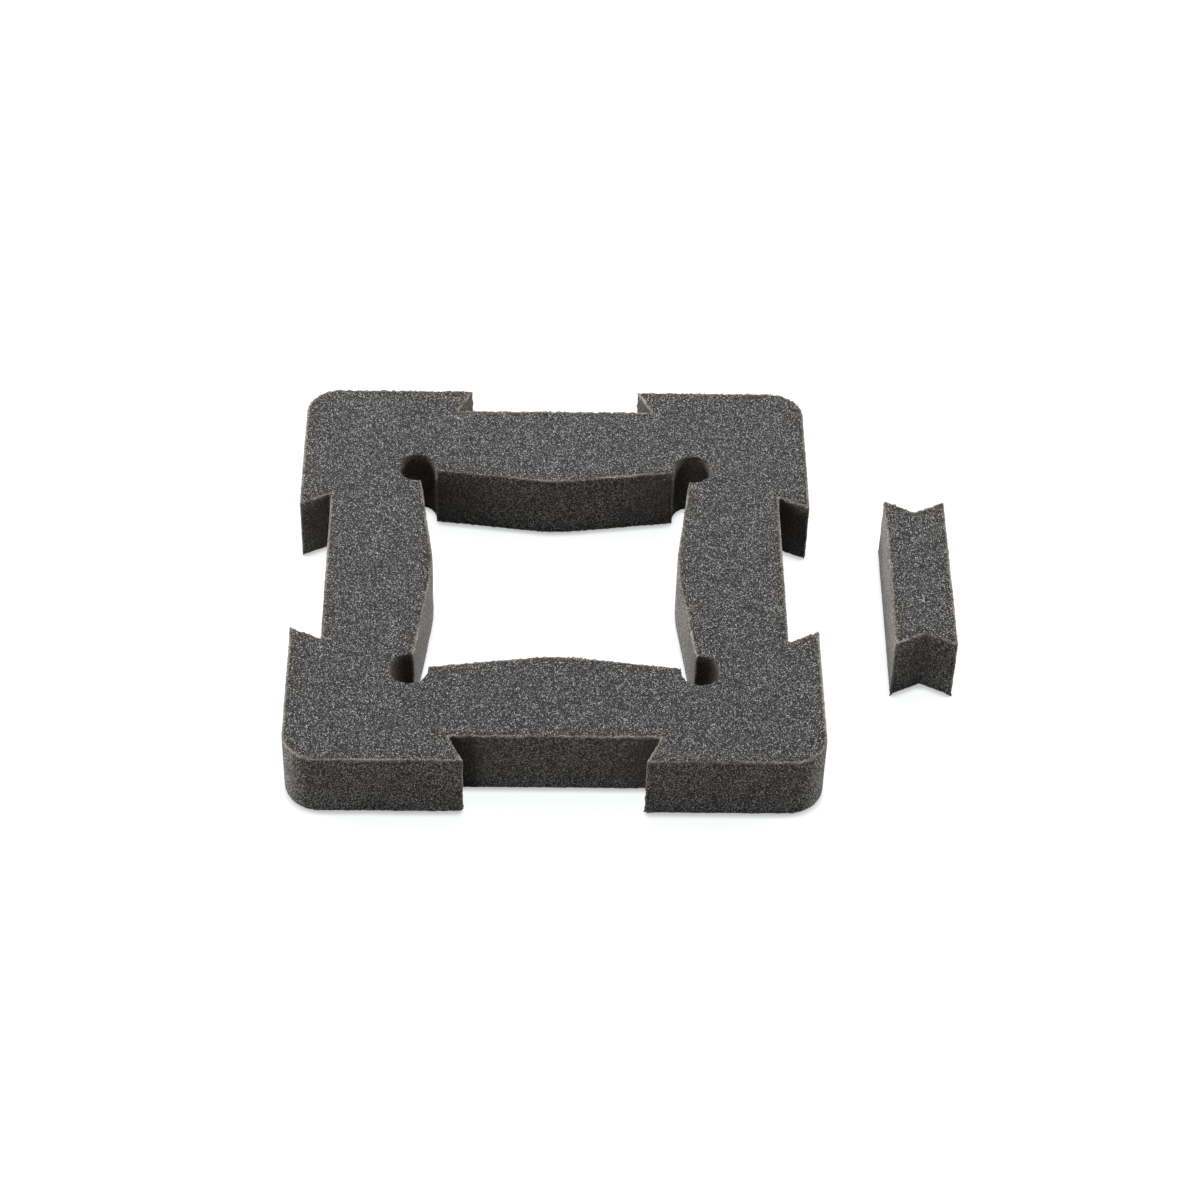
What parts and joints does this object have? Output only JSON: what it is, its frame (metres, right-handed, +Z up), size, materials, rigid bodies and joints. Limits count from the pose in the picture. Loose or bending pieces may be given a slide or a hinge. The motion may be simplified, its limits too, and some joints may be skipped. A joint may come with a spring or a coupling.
{
  "type": "interlocking foam packing frame",
  "caption": "Square charcoal foam packing frame with a bowed-sided opening, corner reliefs and dovetail side notches, with a loose foam dovetail key beside it.",
  "frame": {"origin": "centre of the frame's opening, on the plane that both pieces lie on", "axes": "+Z up through the sheet's thickness; +X from the frame towards the loose key; +Y to the back, along the key's length"},
  "size_m": [0.2657, 0.21, 0.03],
  "materials": {
    "charcoal_foam": "matt open-cell polyurethane foam, charcoal"
  },
  "bodies": {
    "frame": {"foam_frame": "charcoal_foam"},
    "key": {"dovetail_key": "charcoal_foam"}
  },
  "joints": [
    {"name": "key_lift", "type": "slide", "parent": "frame", "child": "key", "axis": [0, 0, 1], "range_m": [0, 0.06]}
  ]
}
